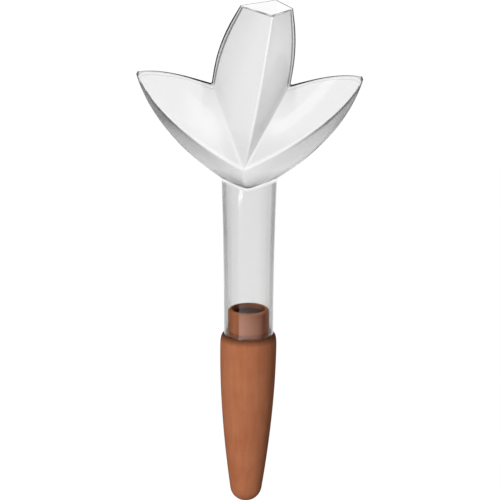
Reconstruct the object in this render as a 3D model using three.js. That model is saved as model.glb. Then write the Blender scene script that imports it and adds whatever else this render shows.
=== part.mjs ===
// Plant waterer: a clear reservoir shaped as three leaves on a flared tube stands over the neck of a hollow
// clay spike, and a soft ring round the neck's foot seals the joint.
// Millimetres, +Z up, front towards -Y. The origin is on the axis at the spike's seat, level with the soil.

import * as THREE from 'three';
import { ParametricGeometry } from 'three/addons/geometries/ParametricGeometry.js';
import { mergeGeometries, mergeVertices } from 'three/addons/utils/BufferGeometryUtils.js';

const { Vector3 } = THREE;

// Clay spike
const neckRadius = 10.1; // outside of the neck
const neckHeight = 12.75; // seat to the top of the lip
const neckWall = 2.05;
const lipRound = 1.4; // of the lip's outer edge
const seatMargin = 0.3; // flat seat outside the tube's foot
const shoulderSwell = 1.4; // how far the body swells past the seat
const shoulderDrop = 5.5; // seat down to the fullest part
const shoulderCorner = 0.6; // how squarely the shoulder turns
const spikeLength = 86.1; // seat to the tip
const tipRadius = 7.75;
const flankAngle = THREE.MathUtils.degToRad(8.5); // of the flank where it leaves the round tip
const spikeWall = 3;

// Seal ring round the neck's foot
const sealThickness = 1;
const sealHeight = 1.8;
const sealRound = 0.3;
const sealClearance = 0.1; // to the neck inside it and to the tube outside it

// Reservoir tube
const wall = 0.7; // of the whole reservoir
const tubeHeight = 78.8; // foot to the leaves, at the sides
const tubeFlare = 1.5; // growth of the radius from foot to leaves
const keelDrop = 1.3; // how far the joint with the leaves dips at the front and back
const jointArch = 1.45; // how far it rises between the front and the sides

// Side leaves, the same on the left and the right. A rise is measured up from the top of the tube,
// and a bow is how far the middle of an edge stands off its chord.
const leafReach = 54.9; // axis to tip
const leafTipRise = 51.6;
const leafTopBow = new Vector3(2.85, 0, 3.1);
const leafBellyBow = new Vector3(6.05, 0, -2.05);
const ridgeTipPull = new Vector3(-10.05, -9, -17.4); // the ridge's pull at the tip
const ridgeHeartPull = new Vector3(22.1, 8, 8.6); // and at the heart, where all the ridges meet
const bellyTuck = 4; // how far the middle of a lower facet is tucked in, which makes the facet flat

// Middle leaf with the open mouth, which leans to the right
const heartRise = 10;
const heartDepth = 21; // axis to the heart, at the front and back
const heartShift = -1.3; // heart to the left of the axis
const keelBow = new Vector3(0, -1.3, -1.9);
const notchRise = 47.3;
const notchLeft = -18.3;
const notchRight = 19.7;
const leftEdgeBow = new Vector3(-2.75, 0, 0.5);
const rightEdgeBow = new Vector3(2, 0, 0.2);
const crestBow = new Vector3(0.95, -1.5, 0.3);
const mouthRise = 85.9; // at the mouth's middle
const mouthTilt = THREE.MathUtils.degToRad(2.2); // down towards the right
const mouthLeft = -4.55;
const mouthRight = 20.75;
const mouthCrest = 11.8; // where the crests at the front and back reach the mouth
const mouthDepth = 14.5; // mouth's middle to those crests

// How far the corners of the hollow lie inside those of the skin, in wall thicknesses, where facets slant
const jointMitre = 0.65;
const heartMitre = 1.25;
const crestMitre = new THREE.Vector2(-0.25, 1.65);
const mouthMitre = 1.35;
const tipMitre = new Vector3(-2.5, 0, -3.2);
const notchMitre = new Vector3(-1.4, 0, -2.1);
const ridgeTipMitre = new Vector3(2.9, 2, 3.8);
const bellyMitre = new Vector3(-0.35, 0, 0.3);

// Fineness of the meshes
const ridgeSteps = 12; // along a ridge, and in a quarter turn of the tube
const facetSteps = 5; // across an upper facet
const bellySteps = 8; // from a ridge to the tube
const crestSteps = 10;
const tubeSteps = 6;
const turnSteps = 4 * ridgeSteps;
const curveSteps = 4; // in each curve of a turned outline
const weldDistance = 0.001; // corners of facets nearer than this are one

// Fits: the tube's foot goes round the seal, the seal round the neck, and the seat carries both
const sealInside = neckRadius + sealClearance;
const sealOutside = sealInside + sealThickness;
const tubeFootRadius = sealOutside + sealClearance + wall;
const seatRadius = tubeFootRadius + seatMargin;

// Clay spike and seal ring, turned from their outlines

function turned(outline) {
  return mergeVertices(bare(new THREE.LatheGeometry(outline, turnSteps).rotateX(Math.PI / 2)));
}

function spikeOutline() {
  const tipCentre = tipRadius - spikeLength;
  const flank = (inset) => {
    const radius = tipRadius - inset;
    const foot = new THREE.Vector2(radius * Math.cos(flankAngle), tipCentre - radius * Math.sin(flankAngle));
    const fullest = seatRadius + shoulderSwell - inset;
    return { radius, foot, fullest, turn: foot.y + (fullest - foot.x) / Math.tan(flankAngle) };
  };
  const outside = flank(0);
  const inside = flank(spikeWall);
  const path = new THREE.Path();
  path.absarc(0, tipCentre, outside.radius, -Math.PI / 2, -flankAngle);
  path.quadraticCurveTo(outside.fullest, outside.turn, outside.fullest, -shoulderDrop);
  path.quadraticCurveTo(outside.fullest, -shoulderCorner, seatRadius, 0);
  path.lineTo(neckRadius, 0);
  path.lineTo(neckRadius, neckHeight - lipRound);
  path.absarc(neckRadius - lipRound, neckHeight - lipRound, lipRound, 0, Math.PI / 2);
  path.lineTo(neckRadius - neckWall, neckHeight);
  path.lineTo(neckRadius - neckWall, 0);
  path.quadraticCurveTo(inside.fullest, -spikeWall, inside.fullest, -shoulderDrop - spikeWall);
  path.quadraticCurveTo(inside.fullest, inside.turn, inside.foot.x, inside.foot.y);
  path.absarc(0, tipCentre, inside.radius, -flankAngle, -Math.PI / 2, true);
  const points = path.getPoints(curveSteps);
  points[0].x = 0;
  points.at(-1).x = 0;
  return points;
}

function sealOutline() {
  const path = new THREE.Path();
  path.moveTo(sealInside, 0);
  path.lineTo(sealOutside, 0);
  path.lineTo(sealOutside, sealHeight - sealRound);
  path.quadraticCurveTo(sealOutside, sealHeight, sealOutside - sealRound, sealHeight);
  path.lineTo(sealInside + sealRound, sealHeight);
  path.quadraticCurveTo(sealInside, sealHeight, sealInside, sealHeight - sealRound);
  path.lineTo(sealInside, 0);
  return path.getPoints(curveSteps);
}

// Reservoir, from facets stretched between its edges

function bare(geometry) {
  geometry.deleteAttribute('normal');
  geometry.deleteAttribute('uv');
  return geometry;
}

function flipped(geometry) {
  geometry.index.array.reverse();
  return geometry;
}

// The area of a surface as a vector, which tells which way the surface faces
function areaVector(geometry) {
  const { index, attributes } = geometry;
  const corner = [new Vector3(), new Vector3(), new Vector3()];
  const sum = new Vector3();
  for (let i = 0; i < index.count; i += 3) {
    corner.forEach((point, k) => point.fromBufferAttribute(attributes.position, index.getX(i + k)));
    sum.add(corner[1].sub(corner[0]).cross(corner[2].sub(corner[0])));
  }
  return sum;
}

// A mesh over surface(u, v), turned to face the given way
function patch(surface, steps, rows, facing) {
  const geometry = bare(new ParametricGeometry((u, v, to) => to.copy(surface(u, v)), steps, rows));
  return areaVector(geometry).dot(facing) < 0 ? flipped(geometry) : geometry;
}

function ruled(from, to) {
  return (u, v) => from(u).lerp(to(u), v);
}

// A surface inside four edges: near and far run along u, start and end along v
function spanned(near, far, start, end) {
  const sides = ruled(near, far);
  const ends = (u, v) => start(v).lerp(end(v), u);
  const corners = (u, v) => near(0).lerp(near(1), u).lerp(far(0).lerp(far(1), u), v);
  return (u, v) => sides(u, v).add(ends(u, v)).sub(corners(u, v));
}

// The surface with its middle moved back by depth and its edges left where they are
function tucked(surface, depth) {
  return (u, v) => {
    const share = 16 * u * (1 - u) * v * (1 - v); // 1 in the middle
    return surface(u, v).add(new Vector3(0, depth * share, 0));
  };
}

// A curve between two points whose middle stands off its chord by bow
function bowed(from, to, bow) {
  const control = from.clone().add(to).divideScalar(2).addScaledVector(bow, 2);
  const curve = new THREE.QuadraticBezierCurve3(from, control, to);
  return (u) => curve.getPoint(u);
}

// A curve that leaves each end along its pull
function pulled(from, fromPull, to, toPull) {
  const curve = new THREE.CubicBezierCurve3(from, from.clone().add(fromPull), to.clone().add(toPull), to);
  return (u) => curve.getPoint(u);
}

// The edges of the front half: of the outer skin (inset 0), or of the hollow inside it (inset by the wall)
function frontEdges(inset) {
  const moved = (point, mitre) => point.clone().addScaledVector(mitre, inset);
  const mouthPoint = (x, y) => {
    const middle = (mouthLeft + mouthRight) / 2;
    return new Vector3(x, y, tubeHeight + mouthRise - (x - middle) * Math.tan(mouthTilt));
  };
  const tubeRadius = (height) => tubeFootRadius - inset + tubeFlare * height ** 2;
  const jointAt = (side) => (u) => {
    const turn = (u * Math.PI) / 2;
    const height = tubeHeight - keelDrop * Math.sin(turn) ** 2 + jointArch * Math.sin(2 * turn);
    const around = new Vector3(side * Math.cos(turn), -Math.sin(turn), 0).multiplyScalar(tubeRadius(1));
    return around.setZ(height + jointMitre * inset);
  };

  const heart = new Vector3(heartShift, heartMitre * inset - heartDepth, tubeHeight + heartRise);
  const crestEnd = mouthPoint(mouthCrest + crestMitre.x * inset, crestMitre.y * inset - mouthDepth);
  const crest = bowed(heart, crestEnd, crestBow);
  const keel = bowed(heart, jointAt(1)(1), keelBow);
  const leafEdges = (side, notch, mouth, edgeBow) => {
    const sided = ({ x, y, z }) => new Vector3(side * x, y, z);
    const tip = sided(moved(new Vector3(leafReach, 0, tubeHeight + leafTipRise), tipMitre));
    const notchPoint = moved(new Vector3(notch, 0, tubeHeight + notchRise), sided(notchMitre));
    const joint = jointAt(side);
    return {
      joint,
      top: bowed(tip, notchPoint, sided(leafTopBow)),
      belly: bowed(tip, joint(0), sided(moved(leafBellyBow, bellyMitre))),
      ridge: pulled(tip, sided(moved(ridgeTipPull, ridgeTipMitre)), heart, sided(ridgeHeartPull)),
      edge: bowed(notchPoint, mouthPoint(mouth - mouthMitre * side * inset, 0), edgeBow),
    };
  };
  const left = leafEdges(-1, notchLeft, mouthLeft, leftEdgeBow);
  const right = leafEdges(1, notchRight, mouthRight, rightEdgeBow);
  return { crest, keel, tubeRadius, sides: [left, right] };
}

function tubeSurface({ tubeRadius }, { joint }) {
  return (u, v) => {
    const narrowing = tubeRadius(v) / tubeRadius(1);
    return joint(u).multiply(new Vector3(narrowing, narrowing, v));
  };
}

function bellySurface({ keel }, { ridge, joint, belly }) {
  return tucked(spanned(ridge, joint, belly, keel), bellyTuck);
}

function frontFacets(edges, facing) {
  return edges.sides.flatMap((side) => [
    patch(ruled(side.top, side.ridge), ridgeSteps, facetSteps, facing),
    patch(ruled(side.edge, edges.crest), crestSteps, facetSteps, facing),
    patch(bellySurface(edges, side), ridgeSteps, bellySteps, facing),
    patch(tubeSurface(edges, side), ridgeSteps, tubeSteps, facing),
  ]);
}

// The mouth's cut edge and the tube's foot close the wall between the skin and the hollow
function wallEnds(outer, inner) {
  const mouthLine = (edges, k) => (u) => edges.sides[k].edge(1).lerp(edges.crest(1), u);
  const footLine = (edges, k) => (u) => tubeSurface(edges, edges.sides[k])(u, 0);
  const up = new Vector3(0, 0, 1);
  const down = new Vector3(0, 0, -1);
  return [0, 1].flatMap((k) => [
    patch(ruled(mouthLine(outer, k), mouthLine(inner, k)), facetSteps, 1, up),
    patch(ruled(footLine(outer, k), footLine(inner, k)), ridgeSteps, 1, down),
  ]);
}

function reservoirShell() {
  const outer = frontEdges(0);
  const inner = frontEdges(wall);
  const front = mergeGeometries([
    ...frontFacets(outer, new Vector3(0, -1, 0)),
    ...frontFacets(inner, new Vector3(0, 1, 0)),
    ...wallEnds(outer, inner),
  ]);
  const back = flipped(front.clone().scale(1, -1, 1));
  return mergeVertices(mergeGeometries([front, back]), weldDistance);
}

// Assembly

const clearPlastic = new THREE.MeshStandardMaterial({
  name: 'clear_plastic', color: 0xf2f5f5, roughness: 0.05, metalness: 0, transparent: true, opacity: 0.3,
});
const paleRubber = new THREE.MeshStandardMaterial({
  name: 'pale_rubber', color: 0xd9cfc4, roughness: 0.6, metalness: 0,
});
const terracotta = new THREE.MeshStandardMaterial({
  name: 'terracotta', color: 0xb0704c, roughness: 0.8, metalness: 0,
});

const pieces = {
  clay_spike: [turned(spikeOutline()), terracotta],
  seal_ring: [turned(sealOutline()), paleRubber],
  reservoir: [reservoirShell(), clearPlastic],
};

const plantWaterer = new THREE.Group();
for (const [name, [geometry, material]] of Object.entries(pieces)) {
  const mesh = new THREE.Mesh(geometry, material);
  mesh.name = name;
  plantWaterer.add(mesh);
}

export default plantWaterer;
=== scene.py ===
# Plant waterer: a clear reservoir shaped as three leaves stands on the neck of a porous clay spike.
# Metres, +Z up, front towards -Y. The origin is on the axis at the spike's seat, level with the soil.

import math

import bpy
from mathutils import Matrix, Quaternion, Vector


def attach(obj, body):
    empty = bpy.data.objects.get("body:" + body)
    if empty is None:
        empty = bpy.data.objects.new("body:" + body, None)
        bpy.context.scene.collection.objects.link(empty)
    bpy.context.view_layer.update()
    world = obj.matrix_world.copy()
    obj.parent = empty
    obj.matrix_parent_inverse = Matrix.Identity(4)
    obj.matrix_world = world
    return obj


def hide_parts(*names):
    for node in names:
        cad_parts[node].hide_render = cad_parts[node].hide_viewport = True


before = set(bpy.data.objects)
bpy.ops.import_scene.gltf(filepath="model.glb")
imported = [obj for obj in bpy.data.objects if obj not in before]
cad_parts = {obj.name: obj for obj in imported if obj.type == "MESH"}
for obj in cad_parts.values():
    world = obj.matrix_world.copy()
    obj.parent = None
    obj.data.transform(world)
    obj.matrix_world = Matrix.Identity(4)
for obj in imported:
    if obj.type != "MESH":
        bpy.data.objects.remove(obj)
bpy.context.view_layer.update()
scene = bpy.context.scene
scene.view_settings.view_transform = "Standard"


# Camera: a long lens a little above the object and a few degrees to its right, with a slight roll.
# The lens is worked out for a 500 by 500 picture, in which one picture element covers pixel_size at the
# aimed-at point.

picture_side = 500
pixel_size = 0.000485
view_target = Vector((0.00054, 0, 0.04245))
view_distance = 2.91
view_azimuth = math.radians(4)
view_elevation = math.radians(17.5)
view_roll = math.radians(0.25)

towards_camera = Vector((
    math.sin(view_azimuth) * math.cos(view_elevation),
    -math.cos(view_azimuth) * math.cos(view_elevation),
    math.sin(view_elevation),
))


def aimed(direction, roll):
    """The turn that points a camera or a lamp along a direction."""
    return direction.to_track_quat("-Z", "Y") @ Quaternion((0, 0, 1), roll)


camera_data = bpy.data.cameras.new("camera")
camera_data.lens = camera_data.sensor_width * view_distance / (picture_side * pixel_size)
camera = bpy.data.objects.new("camera", camera_data)
camera.location = view_target + towards_camera * view_distance
camera.rotation_mode = "QUATERNION"
camera.rotation_quaternion = aimed(-towards_camera, view_roll)
scene.collection.objects.link(camera)
scene.camera = camera


# Clay spike: a hollow cone of fired, unglazed clay with a round tip, a rounded shoulder and a plain neck.
# It is slip-cast, so it stands slightly crooked and its skin is faintly streaked and speckled.
# The tube stands on its seat, round the neck, and water soaks the clay from inside.

neck_radius = 0.0101
neck_height = 0.01275
neck_wall = 0.00205
neck_fillet = ((0.0006, 0), (0.0001, 0.0003), (0, 0.0009))
lip_round = 0.0014
lip_chamfer = 0.0002
seat_radius = 0.0123
fullest_radius = 0.0137
shoulder_drop = 0.0055
shoulder_corner = 0.0006
spike_length = 0.0861
tip_radius = 0.00775
flank_angle = math.radians(8.5)
spike_wall = 0.003
spike_lean = math.radians(0.7)
spike_turns = 96
tip_steps = 12
flank_steps = 24
shoulder_steps = 10
lip_steps = 8
weld = 0.000005
crisp_from = math.radians(40)


def arc(centre, radius, start, end, steps):
    """Points on an arc in the plane of radius and height."""
    angles = [start + (end - start) * k / steps for k in range(steps + 1)]
    return [(centre[0] + radius * math.cos(a), centre[1] + radius * math.sin(a)) for a in angles]


def bend(start, control, end, steps):
    """Points on a quadratic curve, without its first one."""
    points = []
    for k in range(1, steps + 1):
        t = k / steps
        points.append(tuple(
            (1 - t) ** 2 * a + 2 * t * (1 - t) * b + t ** 2 * c for a, b, c in zip(start, control, end)
        ))
    return points


def flank(inset):
    """The outer face of the spike (inset 0) or its hollow, from the tip up to the fullest part."""
    centre = (0, tip_radius - spike_length)
    round_tip = arc(centre, tip_radius - inset, -math.pi / 2, -flank_angle, tip_steps)
    foot = round_tip[-1]
    fullest = fullest_radius - inset
    turn = (fullest, foot[1] + (fullest - foot[0]) / math.tan(flank_angle))
    top = (fullest, -shoulder_drop - inset)
    return round_tip + bend(foot, turn, top, flank_steps)


def select_only(piece):
    bpy.ops.object.select_all(action="DESELECT")
    piece.select_set(True)
    bpy.context.view_layer.objects.active = piece


def turned(name, outline, turns):
    """A closed solid made by spinning an outline of (radius, height) pairs about the axis."""
    mesh = bpy.data.meshes.new(name)
    lines = [(k, k + 1) for k in range(len(outline) - 1)]
    mesh.from_pydata([(r, 0, z) for r, z in outline], lines, [])
    piece = bpy.data.objects.new(name, mesh)
    scene.collection.objects.link(piece)
    select_only(piece)
    bpy.ops.object.mode_set(mode="EDIT")
    bpy.ops.mesh.select_all(action="SELECT")
    bpy.ops.mesh.spin(steps=turns, angle=math.tau, center=(0, 0, 0), axis=(0, 0, 1))
    bpy.ops.mesh.select_all(action="SELECT")
    bpy.ops.mesh.remove_doubles(threshold=weld)
    bpy.ops.mesh.normals_make_consistent(inside=False)
    bpy.ops.object.mode_set(mode="OBJECT")
    bpy.ops.object.shade_smooth_by_angle(angle=crisp_from)
    return piece


bore = neck_radius - neck_wall
outside = flank(0)
inside = flank(spike_wall)
shoulder = bend(outside[-1], (fullest_radius, -shoulder_corner), (seat_radius, 0), shoulder_steps)
neck = [(neck_radius + out, up) for out, up in neck_fillet]
lip = arc((neck_radius - lip_round, neck_height - lip_round), lip_round, 0, math.pi / 2, lip_steps)
lip += [(bore + lip_chamfer, neck_height), (bore, neck_height - lip_chamfer)]
throat = [(bore, 0)]
throat += bend(throat[-1], (inside[-1][0], -spike_wall), inside[-1], lip_steps)
spike_outline = outside + shoulder + neck + lip + throat + inside[-2::-1]
spike_outline = [(max(r, 0), z) for r, z in spike_outline]
clay_spike = turned("clay_spike_fired", spike_outline, spike_turns)

# What is below the seat leans slightly to the left, as the clay settled in the kiln
for vertex in clay_spike.data.vertices:
    vertex.co.x += min(vertex.co.z, 0) * math.tan(spike_lean)

clay_dark = (0.43, 0.145, 0.065)
clay_pale = (0.51, 0.19, 0.092)
streak_stretch = (1, 1, 0.12)
speck_shade = 0.72
# Painted contact shadow round the seat, and painted shade down the bore
seat_shadow_reach = 0.0033
seat_shadow_ring = ((0, 1), (0.42, 0.4), (0.53, 0.3), (0.6, 1))
bore_shade_top = neck_height - 0.0018
bore_shade_fade = 0.0008
bore_shade_dark = 0.32
bore_shade_pale = 0.75
clay_relief = 0.00025


class Finish:
    """The nodes of one finish. A value given to a node is a plain number or another node's output."""

    def __init__(self, owner):
        owner.use_nodes = True
        self.owner = owner
        self.nodes = owner.node_tree.nodes
        self.links = owner.node_tree.links

    def feed(self, socket, value):
        if isinstance(value, bpy.types.NodeSocket):
            self.links.new(value, socket)
        else:
            socket.default_value = value

    def add(self, kind, inputs=None, **settings):
        node = self.nodes.new(kind)
        for key, value in settings.items():
            setattr(node, key, value)
        for key, value in (inputs or {}).items():
            self.feed(node.inputs[key], value)
        return node

    def skin(self, looks):
        """Sets the inputs of the finish's main shader by their names."""
        for name, value in looks.items():
            self.feed(self.nodes["Principled BSDF"].inputs[name], value)

    def place(self):
        """Where a point lies in the object's own frame."""
        return self.add("ShaderNodeTexCoord").outputs["Object"]

    def axes(self, vector):
        return self.add("ShaderNodeSeparateXYZ", {"Vector": vector}).outputs

    def stretched(self, vector, scale):
        return self.add("ShaderNodeMapping", {"Vector": vector, "Scale": scale}).outputs["Vector"]

    def length(self, vector):
        return self.add("ShaderNodeVectorMath", {0: vector}, operation="LENGTH").outputs["Value"]

    def noise(self, vector, scale, detail):
        inputs = {"Vector": vector, "Scale": scale, "Detail": detail}
        return self.add("ShaderNodeTexNoise", inputs).outputs["Fac"]

    def bumps(self, height, strength, distance):
        inputs = {"Height": height, "Strength": strength, "Distance": distance}
        return self.add("ShaderNodeBump", inputs).outputs["Normal"]

    def maths(self, operation, *values, clamp=False):
        node = self.add("ShaderNodeMath", dict(enumerate(values)), operation=operation, use_clamp=clamp)
        return node.outputs["Value"]

    def graded(self, value, start, end, low=0, high=1):
        """Runs from low to high while the value runs from start to end, and no further."""
        inputs = {"Value": value, "From Min": start, "From Max": end, "To Min": low, "To Max": high}
        return self.add("ShaderNodeMapRange", inputs).outputs["Result"]

    def ramp(self, value, stops):
        """Runs through stops, each a place from 0 to 1 with a grey level or a colour."""
        node = self.add("ShaderNodeValToRGB", {"Fac": value})
        elements = node.color_ramp.elements
        elements[0].position = stops[0][0]
        elements[1].position = stops[-1][0]
        for stop in stops[1:-1]:
            elements.new(stop[0])
        for element, (position, level) in zip(elements, stops):
            colour = level if isinstance(level, tuple) else (level, level, level)
            element.color = (*colour, 1)
        return node.outputs["Color"]

    def mixed(self, share, first, second):
        """The first number where share is 0, and the second where it is 1."""
        inputs = {"Factor": share, "A": first, "B": second}
        return self.add("ShaderNodeMix", inputs, data_type="FLOAT").outputs["Result"]

    def dimmed(self, colour, tone, share=1):
        """A colour times a tone, where share is 1."""
        inputs = {"Factor": share, "A": colour, "B": tone}
        return self.add("ShaderNodeMix", inputs, data_type="RGBA", blend_type="MULTIPLY").outputs["Result"]


def fired_clay():
    """Terracotta: drifting tone, faint upright streaks, fine dark specks and a dry, grainy skin."""
    clay = Finish(bpy.data.materials.new("terracotta"))
    place = clay.place()
    height = clay.axes(place)["Z"]
    drift = clay.noise(place, scale=70, detail=4)
    streaks = clay.noise(clay.stretched(place, streak_stretch), scale=420, detail=5)
    grain = clay.noise(place, scale=2600, detail=3)

    tone = clay.graded(clay.maths("ADD", drift, streaks), 0.7, 1.3)
    colour = clay.ramp(tone, ((0, clay_dark), (1, clay_pale)))
    specks = clay.graded(grain, 0.28, 0.42, speck_shade)
    colour = clay.dimmed(colour, specks)

    # Painted shadow in a ring round the seat, under the tube's foot, and painted shade in the neck's bore,
    # darker below its lip
    colour = clay.dimmed(colour, clay.ramp(clay.graded(height, -seat_shadow_reach, seat_shadow_reach), seat_shadow_ring))
    radius = clay.length(clay.stretched(place, (1, 1, 0)))
    hollow = clay.graded(radius, bore + lip_chamfer / 2, bore + lip_chamfer * 1.5, 1, 0)
    in_bore = clay.maths("MULTIPLY", hollow, clay.maths("GREATER_THAN", height, 0))
    bore_shade = clay.graded(height, bore_shade_top - bore_shade_fade, bore_shade_top, bore_shade_dark, bore_shade_pale)
    colour = clay.dimmed(colour, bore_shade, in_bore)

    relief = clay.maths("ADD", streaks, grain)
    clay.skin({
        "Base Color": colour,
        "Roughness": clay.graded(streaks, 0, 1, 0.72, 0.92),
        "Normal": clay.bumps(relief, 0.35, clay_relief),
        "Specular IOR Level": 0.1,
    })
    return clay.owner


clay_spike.data.materials.append(fired_clay())
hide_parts("clay_spike")
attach(clay_spike, "spike")


# Seal ring: a soft tan ring squeezed round the foot of the neck, which keeps the tube's joint tight.
# It is moulded in rubber, with a slightly uneven top where it was pressed down.

seal_clearance = 0.0001
seal_thickness = 0.001
seal_height = 0.0018
seal_round = 0.0004
seal_waves = 0.00008
seal_steps = 6

seal_inside = neck_radius + seal_clearance
seal_outside = seal_inside + seal_thickness
seal_shoulder = seal_height - seal_round
seal_outline = [(seal_inside, 0), (seal_outside, 0)]
seal_outline += arc((seal_outside - seal_round, seal_shoulder), seal_round, 0, math.pi / 2, seal_steps)
seal_outline += arc((seal_inside + seal_round, seal_shoulder), seal_round, math.pi / 2, math.pi, seal_steps)
seal_outline += [(seal_inside, 0)]
seal_ring = turned("seal_ring_soft", seal_outline, spike_turns)
for vertex in seal_ring.data.vertices:
    turn = math.atan2(vertex.co.y, vertex.co.x)
    wave = seal_waves * (math.sin(5 * turn) + math.sin(11 * turn + 1))
    vertex.co.z += vertex.co.z / seal_height * wave

# The rubber's dark brown is partly painted shade: it also stands for the contact shadow at the tube's foot
rubber_dark = (0.24, 0.08, 0.04)
rubber_pale = (0.4, 0.16, 0.09)
rubber_relief = 0.0001


def tan_rubber():
    """Soft rubber with a dusty, slightly blotched skin."""
    rubber = Finish(bpy.data.materials.new("pale_rubber"))
    blotches = rubber.noise(rubber.place(), scale=900, detail=2)
    rubber.skin({
        "Base Color": rubber.ramp(blotches, ((0, rubber_dark), (1, rubber_pale))),
        "Roughness": rubber.graded(blotches, 0, 1, 0.45, 0.75),
        "Normal": rubber.bumps(blotches, 0.2, rubber_relief),
    })
    return rubber.owner


seal_ring.data.materials.append(tan_rubber())
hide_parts("seal_ring")
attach(seal_ring, "ring")


# Reservoir: one hollow moulding of clear plastic. Two side leaves and an open middle leaf share a heart,
# where their ridges meet, above a flared tube whose foot stands on the spike's seat.
# The front half is laid out as patches, skin and hollow alike, and the back half is its mirror image.

wall = 0.0007
tube_foot_radius = seal_outside + seal_clearance + wall
tube_height = 0.0788
tube_flare = 0.0015
keel_drop = 0.0013
joint_arch = 0.00145
joint_mitre = 0.65

leaf_tip = Vector((0.0549, 0, tube_height + 0.0516))
tip_top = leaf_tip + Vector((-0.0007, 0, 0.0008))
tip_foot = leaf_tip + Vector((-0.00005, 0, -0.00045))
belly_tuck = 0.004
edge_half = 0.00055
hollow_half = 0.00035
edge_swell = 0.0003
edge_taper = 0.09
edge_inset = 1.3
edge_step = 0.001
leaf_top_bow = Vector((0.00285, 0, 0.0026))
leaf_belly_bow = Vector((0.00605, 0, -0.00205))
ridge_tip_pull = Vector((-0.01005, -0.009, -0.0174))
ridge_heart_pull = Vector((0.0221, 0.008, 0.0086))

heart = Vector((-0.0013, -0.021, tube_height + 0.01))
keel_bow = Vector((0, -0.0013, -0.0019))
notch_height = tube_height + 0.0473
notch_left, notch_right = -0.0183, 0.0197
left_edge_bow = Vector((-0.00275, 0, 0.0005))
right_edge_bow = Vector((0.002, 0, 0.0002))
crest_bow = Vector((0.00095, -0.0015, 0.0003))
mouth_height = tube_height + 0.0859
mouth_tilt = math.radians(2.2)
mouth_left, mouth_right = -0.00455, 0.02075
mouth_crest = 0.0118
mouth_depth = 0.0145

# How far the hollow's corners lie inside those of the skin, in wall thicknesses
heart_mitre = Vector((0, 1.25, 0))
tip_mitre = Vector((-1.6, 0, -1.5))
notch_mitre = Vector((-1.05, 0, -1.6))
ridge_tip_mitre = Vector((2.2, 2, 2.4))
belly_mitre = Vector((-0.35, 0, 0.3))
crest_mitre = Vector((-0.25, 1.65))
mouth_mitre = 1.1


def bowed(start, end, bow):
    """A curve whose middle stands off its chord by bow."""
    control = (start + end) / 2 + 2 * bow
    return lambda u: (1 - u) ** 2 * start + 2 * u * (1 - u) * control + u ** 2 * end


def pulled(start, start_pull, end, end_pull):
    """A curve that leaves each end along its pull."""
    near, far = start + start_pull, end + end_pull

    def point(u):
        v = 1 - u
        return v ** 3 * start + 3 * u * v ** 2 * near + 3 * u ** 2 * v * far + u ** 3 * end
    return point


def ruled(near, far):
    """A surface of straight lines from one curve to another."""
    return lambda u, v: near(u).lerp(far(u), v)


def spanned(near, far, first, last):
    """A surface inside four edges: near and far run along u, first and last along v."""
    def point(u, v):
        sides = near(u).lerp(far(u), v)
        ends = first(v).lerp(last(v), u)
        corners = near(0).lerp(near(1), u).lerp(far(0).lerp(far(1), u), v)
        return sides + ends - corners
    return point


def mouth_point(x, y):
    """A point on the tilted plane across which the middle leaf is cut off."""
    middle = (mouth_left + mouth_right) / 2
    return Vector((x, y, mouth_height - (x - middle) * math.tan(mouth_tilt)))


# Rows of the mesh, close together beside the edges that stay crisp
leaf_rows = [0, 0.01, 0.035, 0.09, 0.17, 0.26, 0.36, 0.46, 0.56, 0.66, 0.76, 0.86, 0.93, 0.975, 1]
side_rows = [0, 0.04, 0.18, 0.38, 0.58, 0.78, 0.94, 0.972, 1]
facet_rows = [0, 0.04, 0.18, 0.38, 0.58, 0.78, 0.945, 1]
belly_rows = [0, 0.035, 0.09, 0.18, 0.3, 0.45, 0.6, 0.74, 0.85, 0.93, 1]
crest_rows = [0, 0.03, 0.09, 0.18, 0.3, 0.42, 0.54, 0.66, 0.78, 0.89, 0.97, 0.99, 1]
tube_rows = [0, 0.008, 0.04, 0.15, 0.3, 0.45, 0.6, 0.75, 0.87, 0.95, 0.98, 1]
strip_rows = [0, 1]


class Quads:
    """Corners and faces of patches, each a net of four-sided faces, with marks on the corners: whether they
    are on the outer skin, and how much painted highlight, painted crease shade or painted dark brim line
    they carry."""

    def __init__(self):
        self.corners = []
        self.faces = []
        self.marks = {"outside": [], "seam": [], "crease": [], "brim": []}
        self.skin = 1

    def patch(self, surface, along, across, **marks):
        first = len(self.corners)
        places = [(u, v) for u in along for v in across]
        self.corners += [surface(u, v) for u, v in places]
        marks["outside"] = lambda u, v: self.skin
        for name, values in self.marks.items():
            values += [marks[name](u, v) if name in marks else 0 for u, v in places]
        width = len(across)
        for i in range(len(along) - 1):
            for k in range(width - 1):
                a = first + i * width + k
                self.faces.append((a, a + 1, a + width + 1, a + width))


# Marks of the patches' edges: each ridge has a painted dark shade line near its tip, and a painted
# highlight towards the heart

def fade(place, start, end):
    """Runs from 0 at start to 1 at end, and no further."""
    return min(1, max(0, (place - start) / (end - start)))


def shaded_part(u):
    return fade(u, 0.733, 0.4)


def highlit_part(u):
    return 0.8 * fade(u, 0.5, 0.75)


def valley_seam(v):
    """The painted highlight line in the valley between a side leaf and the middle leaf, stronger towards
    the heart.
    """
    return 0.7 * fade(v, 0.32, 0.72)


def leaf_seam(u, v):
    if v == 1:
        return highlit_part(u)
    beside_ridge = 0.8 * fade(u, 0, 0.143) * (v == side_rows[-2])
    return max(beside_ridge, valley_seam(v) * (u == 1))


def leaf_crease(u, v):
    return 0.5 * shaded_part(u) * (v == 1)


def middle_seam(u, v):
    return valley_seam(v) * (u == 0)


def middle_brim(u, v):
    return u >= crest_rows[-2]


def belly_seam(u, v):
    return 1 if v == 1 else highlit_part(u) * (v == 0)


def belly_crease(u, v):
    return shaded_part(u) * (0.5 if v == 0 else v == belly_rows[1])


def tube_seam(u, v):
    return v == 1


def cut_brim(u, v):
    return 1


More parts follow.
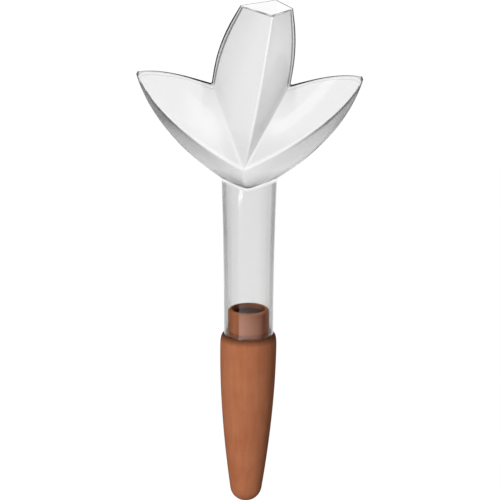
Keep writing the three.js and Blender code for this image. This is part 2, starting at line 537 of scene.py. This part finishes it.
def reservoir_skin(inset, quads):
    """Adds the patches of the front half's outer skin (inset 0) or of its hollow (inset by the wall)."""
    quads.skin = 0 if inset else 1

    def tube_radius(height):
        return tube_foot_radius - inset + tube_flare * height ** 2

    core = heart + heart_mitre * inset
    crest_end = mouth_point(mouth_crest + crest_mitre.x * inset, crest_mitre.y * inset - mouth_depth)
    crest = bowed(core, crest_end, crest_bow)
    half = hollow_half if inset else edge_half
    rims = []
    for side, notch_x, mouth_x, edge_bow in (
        (-1, notch_left, mouth_left, left_edge_bow),
        (1, notch_right, mouth_right, right_edge_bow),
    ):
        def sided(point):
            return Vector((side * point.x, point.y, point.z))

        def joint(u):
            """The line on which the leaves meet the tube, from the side to the front."""
            place = leaf_rows.index(u) / (len(leaf_rows) - 1) if u in leaf_rows else u
            turn = place * math.pi / 2
            height = tube_height - keel_drop * math.sin(turn) ** 2 + joint_arch * math.sin(2 * turn)
            height += joint_mitre * inset
            radius = tube_radius(1)
            return Vector((side * radius * math.cos(turn), -radius * math.sin(turn), height))

        def tube(u, v):
            top = joint(u)
            share = tube_radius(v) / tube_radius(1)
            return Vector((top.x * share, top.y * share, top.z * v))

        def rounded(line, taper):
            """The strip along an edge of a leaf, from its facet (w = 0) to the mid plane (w = 1)."""
            def point(u, w):
                before, after = line(u - edge_step), line(u + edge_step)
                outwards = -side * Vector((before.z - after.z, 0, after.x - before.x)).normalized()
                width = half * min(1, u / taper) if taper else half
                swell = edge_swell * min(1, u / edge_taper, (1 - u) / edge_taper)
                return line(u) + outwards * swell * (w - edge_inset) - Vector((0, width * (1 - w), 0))
            return point

        tip = sided(tip_foot + tip_mitre * inset)
        notch = Vector((notch_x, 0, notch_height)) + sided(notch_mitre) * inset
        mouth = mouth_point(mouth_x - mouth_mitre * side * inset, 0)
        top_line = bowed(sided(tip_top + tip_mitre * inset), notch, sided(leaf_top_bow))
        top_strip = rounded(top_line, edge_taper)
        side_strip = rounded(bowed(notch, mouth, edge_bow), 0)
        top_edge = lambda u, strip=top_strip: strip(u, 0)
        edge = lambda u, strip=side_strip: strip(u, 0)
        belly = bowed(tip, joint(0), sided(leaf_belly_bow + belly_mitre * inset))
        ridge_pull = sided(ridge_tip_pull + ridge_tip_mitre * inset)
        ridge = pulled(tip, ridge_pull, core, sided(ridge_heart_pull))
        keel = bowed(core, joint(1), keel_bow)
        belly_span = spanned(ridge, joint, belly, keel)

        def underside(u, v, span=belly_span):
            """The lower facet, tucked in below its ridge so that it stays flat."""
            return span(u, v) + Vector((0, belly_tuck * 16 * u * (1 - u) * v * (1 - v), 0))

        quads.patch(ruled(top_edge, ridge), leaf_rows, side_rows, seam=leaf_seam, crease=leaf_crease)
        quads.patch(ruled(edge, crest), crest_rows, facet_rows, brim=middle_brim, seam=middle_seam)
        quads.patch(underside, leaf_rows, belly_rows, seam=belly_seam, crease=belly_crease)
        quads.patch(tube, leaf_rows, tube_rows, seam=tube_seam)
        quads.patch(top_strip, leaf_rows, strip_rows)
        quads.patch(side_strip, crest_rows, strip_rows)
        rims.append((
            lambda v, e=edge: e(1).lerp(crest(1), v),
            lambda v, strip=side_strip: strip(1, v),
            lambda u, t=tube: t(u, 0),
        ))
    return rims


quads = Quads()
outer_rims = reservoir_skin(0, quads)
inner_rims = reservoir_skin(wall, quads)
for outer_lines, inner_lines in zip(outer_rims, inner_rims):
    for outer, inner, rows in zip(outer_lines, inner_lines, (facet_rows, strip_rows, leaf_rows)):
        quads.patch(ruled(outer, inner), rows, strip_rows, brim=cut_brim)

moulding_weld = 0.00001
reservoir_mesh = bpy.data.meshes.new("reservoir_clear")
reservoir_mesh.from_pydata(quads.corners, [], quads.faces)
for mark, values in quads.marks.items():
    reservoir_mesh.attributes.new(mark, "FLOAT", "POINT").data.foreach_set("value", values)
reservoir = bpy.data.objects.new("reservoir_clear", reservoir_mesh)
scene.collection.objects.link(reservoir)
select_only(reservoir)
back_half = reservoir.modifiers.new("back_half", "MIRROR")
back_half.use_axis = (False, True, False)
back_half.merge_threshold = moulding_weld
bpy.ops.object.modifier_apply(modifier="back_half")
bpy.ops.object.mode_set(mode="EDIT")
bpy.ops.mesh.select_all(action="SELECT")
bpy.ops.mesh.remove_doubles(threshold=moulding_weld)
bpy.ops.mesh.dissolve_degenerate(threshold=0.000001)
bpy.ops.mesh.normals_make_consistent(inside=False)
bpy.ops.object.mode_set(mode="OBJECT")
rounding = reservoir.modifiers.new("rounding", "SUBSURF")
rounding.levels = 2
rounding.render_levels = 2
bpy.ops.object.modifier_apply(modifier="rounding")
bpy.ops.object.shade_smooth()

# The plastic's tone by its slant to the eye, from face-on (0) to edge-on (1)
slant_tones = (
    (0, 0.93), (0.12, 0.92), (0.2, 0.83), (0.26, 0.81), (0.35, 0.62), (0.42, 0.48), (0.46, 0.35),
    (0.5, 0.19), (0.57, 0.11), (0.64, 0.06), (0.72, 0.06), (0.8, 0.12), (0.88, 0.35), (0.95, 0.8), (1, 1),
)
# How much of that tone shows, and how much painted reflection haze is added, by height above the tube
depth_tones = (
    (-tube_height, 0.6, 0.12), (-0.05, 0.63, 0.12), (-0.025, 0.71, 0.03), (-0.001, 0.66, 0.06),
    (0.003, 0.5, 0.18), (0.008, 0.28, 0.52), (0.02, 0.5, 0.29), (0.03, 1, 0),
    (mouth_height - tube_height, 1, 0),
)
# Painted shade lines beside the edges of the middle leaf and of the side leaves, from the edge inwards
middle_lines = ((0.3, 1), (0.36, 0.05), (0.56, 0.05), (0.62, 0.9), (0.82, 0.9), (0.92, 0), (1, 0))
top_lines = ((0.3, 0.5), (0.37, 0), (0.5, 0), (0.54, 0.3), (0.58, 0.3), (0.63, 0), (1, 0))
shade_line_tone = 0.03
tip_line_start = leaf_tip.x - 0.0017
tip_line_full = leaf_tip.x - 0.0008
brim_shade_line = 0.85
painted_border_dark = 0.8
painted_border_pale = 1.08
left_shade = 0.8
crease_tones = (0.91, 0.05)
middle_half = 0.0225
zone_blend = 0.001
wave_rough = 0.05
leaf_rough = 0.08
wave_relief = 0.0005


def clear_plastic():
    """Polished clear plastic: it dims where it is seen edge-on, carries painted shade and painted highlight
    lines, and its skin waves very slightly.
    """
    plastic = Finish(bpy.data.materials.new("clear_plastic"))
    place = plastic.place()
    axes = plastic.axes(place)
    height = axes["Z"]
    across = plastic.maths("ABSOLUTE", axes["X"])
    aside = plastic.maths("ABSOLUTE", axes["Y"])
    surface = plastic.add("ShaderNodeNewGeometry").outputs
    lean = plastic.axes(surface["True Normal"])["Z"]

    def mark(name):
        return plastic.add("ShaderNodeAttribute", attribute_name=name).outputs["Fac"]

    # Its tone by slant, with painted shade deeper towards the leaf tips, and by height
    tip_shade = plastic.graded(across, 0.012, 0.045, 0, 0.07)
    facing = plastic.add("ShaderNodeLayerWeight", {"Blend": 0.5}).outputs["Facing"]
    dimming = plastic.ramp(plastic.maths("ADD", facing, tip_shade), slant_tones)
    depth_stops = []
    for rise, share, painted_haze in depth_tones:
        depth_stops.append(((tube_height + rise) / mouth_height, (share, painted_haze, 0)))
    depth = plastic.ramp(plastic.graded(height, 0, mouth_height), depth_stops)
    parts = plastic.add("ShaderNodeSeparateColor", {"Color": depth}).outputs
    tone = plastic.maths("MULTIPLY_ADD", dimming, parts["Red"], parts["Green"])

    # Painted shade and light: the middle leaf is darker beside its edges and a little lighter away from
    # them, and the undersides are darker on the left
    middle = plastic.graded(across, middle_half - zone_blend, middle_half + zone_blend, 1, 0)
    upper = plastic.graded(height, tube_height + 0.015, tube_height + 0.03)
    border = plastic.graded(aside, 0.001, 0.012, painted_border_dark, painted_border_pale)
    bordered = plastic.mixed(plastic.maths("MULTIPLY", upper, middle), 1, border)
    tone = plastic.maths("MULTIPLY", tone, bordered)
    downward = plastic.graded(lean, -0.2, -0.05, 1, 0)
    left_side = plastic.graded(axes["X"], -0.028, -0.002, left_shade, 1)
    tone = plastic.maths("MULTIPLY", tone, plastic.mixed(downward, 1, left_side))

    # Painted shade: dark lines along the edges of the leaves, at their tips and round the mouth
    middle_reach = plastic.graded(axes["X"], 0.005, 0.015, 0.0022, 0.0029)
    middle_edge = plastic.ramp(plastic.graded(aside, 0, middle_reach), middle_lines)
    above = plastic.graded(height, notch_height - zone_blend, notch_height + zone_blend)
    on_middle = plastic.maths("MULTIPLY", above, middle)
    top_reach = plastic.graded(across, 0.018, 0.029, 0.0034, 0.002)
    top_edge = plastic.ramp(plastic.graded(aside, 0, top_reach), top_lines)
    upward = plastic.graded(lean, 0.1, 0.2)
    aloft = plastic.graded(height, tube_height + 0.03, tube_height + 0.035)
    on_top = plastic.maths("MULTIPLY", upward, aloft)
    tips = plastic.graded(across, tip_line_start, tip_line_full)
    lines = plastic.maths("MULTIPLY_ADD", top_edge, on_top, tips, clamp=True)
    lines = plastic.maths("MAXIMUM", lines, plastic.graded(mark("brim"), 0.85, 1, 0, brim_shade_line))
    lines = plastic.maths("MULTIPLY_ADD", middle_edge, on_middle, lines, clamp=True)
    tone = plastic.mixed(lines, tone, shade_line_tone)

    # Painted shade along the creases and painted highlights along ridges, valleys and the tube's top, then
    # no tone at all where light leaves the wall again
    tone = plastic.maths("MULTIPLY", tone, plastic.graded(mark("crease"), 0, 1, *crease_tones))
    tone = plastic.mixed(mark("seam"), tone, 1)
    entering = plastic.maths("SUBTRACT", mark("outside"), surface["Backfacing"], clamp=True)
    tone = plastic.mixed(entering, 1, tone)

    waves = plastic.noise(place, scale=45, detail=1)
    duller = plastic.graded(height, tube_height, tube_height + 0.015, 0, leaf_rough)
    plastic.skin({
        "Base Color": tone,
        "Roughness": plastic.maths("MULTIPLY_ADD", waves, wave_rough, duller),
        "Normal": plastic.bumps(waves, 0.05, wave_relief),
        "IOR": 1.3,
        "Transmission Weight": 1,
        "Coat Weight": 0.25,
        "Coat Roughness": 0.08,
    })
    return plastic.owner


reservoir.data.materials.append(clear_plastic())
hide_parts("reservoir")
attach(reservoir, "top")


# Floor: a plain white sheet that lies under the spike's tip and runs far behind the object.
# It is white to the camera and through the plastic, and keeps the object's soft shadow.

floor_side = 14
floor_grey = (0.45, 0.45, 0.45, 1)
floor_glow = 1.09
glow_share = 0.92

bpy.ops.mesh.primitive_plane_add(size=floor_side, location=(0, 0, -spike_length))
floor = bpy.context.object
floor.name = "floor"


def seen(finish):
    """Two outputs: 1 for rays straight from the camera or through clear plastic, and 1 for rays
    off a gloss."""
    path = finish.add("ShaderNodeLightPath").outputs
    clear = finish.maths("MAXIMUM", path["Is Camera Ray"], path["Is Transmission Ray"])
    not_scattered = finish.maths("LESS_THAN", path["Diffuse Depth"], 0.5)
    not_mirrored = finish.maths("LESS_THAN", path["Glossy Depth"], 0.5)
    straight = finish.maths("MULTIPLY", not_scattered, not_mirrored)
    glossy = finish.maths("GREATER_THAN", path["Glossy Depth"], 0.5)
    return finish.maths("MULTIPLY", clear, straight), glossy


def white_sheet():
    """White to the eye; in reflections it is white behind the object and dim in front of it."""
    sheet = Finish(bpy.data.materials.new("white_sheet"))
    sheet.skin({"Base Color": floor_grey, "Roughness": 1, "Specular IOR Level": 0})
    through, glossy = seen(sheet)
    far = sheet.graded(sheet.axes(sheet.place())["Y"], 0, 0.15, 0.02)
    strength = sheet.mixed(glossy, floor_glow, far)
    glow = sheet.add("ShaderNodeEmission", {"Strength": strength})
    share = sheet.maths("MAXIMUM", sheet.maths("MULTIPLY", through, glow_share), glossy)
    matt = sheet.nodes["Principled BSDF"].outputs["BSDF"]
    blend = sheet.add("ShaderNodeMixShader", {"Fac": share, 1: matt, 2: glow.outputs["Emission"]})
    sheet.feed(sheet.nodes["Material Output"].inputs["Surface"], blend.outputs["Shader"])
    return sheet.owner


floor.data.materials.append(white_sheet())


# Light: soft boxes light the clay from the front left and from behind, three more show only as gloss on
# the plastic, and a grey surround is white to the camera and lights the neck inside the tube.

sky_low = 0.25
sky_high = 0.8
sky_top = 0.5
surround_grey = 0.2
neck_light_side = Vector((-0.58, -0.8, 0.15)).normalized()
neck_light = 11.3
lip_light = 9

surround = Finish(bpy.data.worlds.new("surround"))
scene.world = surround.owner
direction = surround.add("ShaderNodeTexCoord").outputs["Generated"]
aims = surround.axes(direction)
through, glossy = seen(surround)
sky = surround.graded(aims["Z"], sky_low, sky_high, 1, sky_top)
mirrored = surround.graded(aims["Y"], 0, 0.3, 0.03)
dull = surround.mixed(glossy, surround_grey, mirrored)

# Light for what stands inside the plastic, which dims the lamps: from the front left, and from above
path = surround.add("ShaderNodeLightPath").outputs
scattered = surround.maths("GREATER_THAN", path["Diffuse Depth"], 0.5)
behind = surround.maths("MULTIPLY", path["Is Transmission Ray"], scattered)
frontal = surround.add("ShaderNodeVectorMath", {0: direction, 1: neck_light_side}, operation="DOT_PRODUCT")
lobe = surround.graded(frontal.outputs["Value"], 0.3, 1, 0, neck_light)
low = surround.graded(aims["Z"], 0.05, 0.3, 1, 0)
high = surround.graded(aims["Z"], 0.75, 1, 0, lip_light)
inside_light = surround.maths("MULTIPLY_ADD", lobe, low, high)
lit = surround.mixed(behind, dull, inside_light)
background = surround.nodes["Background"]
surround.feed(background.inputs["Strength"], surround.mixed(through, lit, sky))
surround.feed(background.inputs["Color"], (1, 1, 1, 1))


def soft_box(name, place, aim, width, height, power, roll=0, gloss_only=False):
    """A lamp with a soft, square front, which either lights the clay or shows only as gloss."""
    data = bpy.data.lights.new(name, "AREA")
    data.shape = "RECTANGLE"
    data.size = width
    data.size_y = height
    data.energy = power
    light = bpy.data.objects.new(name, data)
    light.location = place
    light.rotation_mode = "QUATERNION"
    light.rotation_quaternion = aimed(Vector(aim) - Vector(place), roll)
    light.visible_camera = False
    light.visible_transmission = False
    light.visible_diffuse = not gloss_only
    light.visible_glossy = gloss_only
    scene.collection.objects.link(light)


soft_box("key", (-0.55, -1.6, 0.25), (0, 0, 0), 0.6, 1.0, 27)
soft_box("fill", (0.1, 1.6, 0.3), (0, 0, 0), 0.8, 0.8, 14)
soft_box("front", (0.45, -1.65, 0.08), (0, 0, 0.08), 1.3, 0.33, 8.5, gloss_only=True)
soft_box("top", (0, -1.5, 0.9), (0, 0, 0.1), 1.8, 0.9, 4, gloss_only=True)
soft_box("strip", (-0.25, -1.6, 1.15), (0, 0, 0.1), 0.2, 0.6, 1, math.radians(-55), gloss_only=True)


# Card: a glowing sheet, no lamp, lying on the floor in front of the object, out of the picture.
# Only the gloss of the tube and the leaves shows its glow, as a band that ends sharply at both sides.

card_near = 0.265
card_far = 0.8
card_left = math.radians(-42)
card_right = math.radians(69)
card_steps = 24
card_lift = 0.001
card_levels = ((0.3, 0.75), (0.325, 0.15), (0.48, 0.08), (card_far, 0.03))
card_glow = 10
flash_radius = 0.437
flash_half = 0.0048
flash_end = math.radians(-22)
flash_glow = 12

card_corners = []
for radius in (card_near, card_far):
    for k in range(card_steps + 1):
        turn = card_left + (card_right - card_left) * k / card_steps
        card_corners.append((radius * math.sin(turn), -radius * math.cos(turn), card_lift - spike_length))
card_faces = [(k, k + 1, k + card_steps + 2, k + card_steps + 1) for k in range(card_steps)]
card_mesh = bpy.data.meshes.new("card")
card_mesh.from_pydata(card_corners, [], card_faces)
card = bpy.data.objects.new("card", card_mesh)
scene.collection.objects.link(card)
card.visible_camera = False
card.visible_diffuse = False
card.visible_transmission = False
card.visible_shadow = False


def glowing_card():
    """Its glow stands in for a lamp: brightest near the object and at its left end, with a narrow brighter
    arc there.
    """
    paper = Finish(bpy.data.materials.new("glowing_card"))
    place = paper.place()
    axes = paper.axes(place)
    turn = paper.maths("ARCTAN2", axes["X"], paper.maths("MULTIPLY", axes["Y"], -1))
    reach = paper.length(place)
    fading = paper.maths("POWER", paper.graded(turn, card_left, card_right, 0.74, 0.27), 1.5)
    stops = [(radius / card_far, level) for radius, level in card_levels]
    near = paper.maths("MULTIPLY", paper.ramp(paper.graded(reach, 0, card_far), stops), card_glow)
    band = paper.maths("COMPARE", reach, flash_radius, flash_half)
    flash = paper.maths("MULTIPLY", band, paper.maths("LESS_THAN", turn, flash_end))
    strength = paper.maths("MULTIPLY_ADD", flash, flash_glow, paper.maths("MULTIPLY", fading, near))
    glow = paper.add("ShaderNodeEmission", {"Strength": strength})
    paper.feed(paper.nodes["Material Output"].inputs["Surface"], glow.outputs["Emission"])
    return paper.owner


card.data.materials.append(glowing_card())
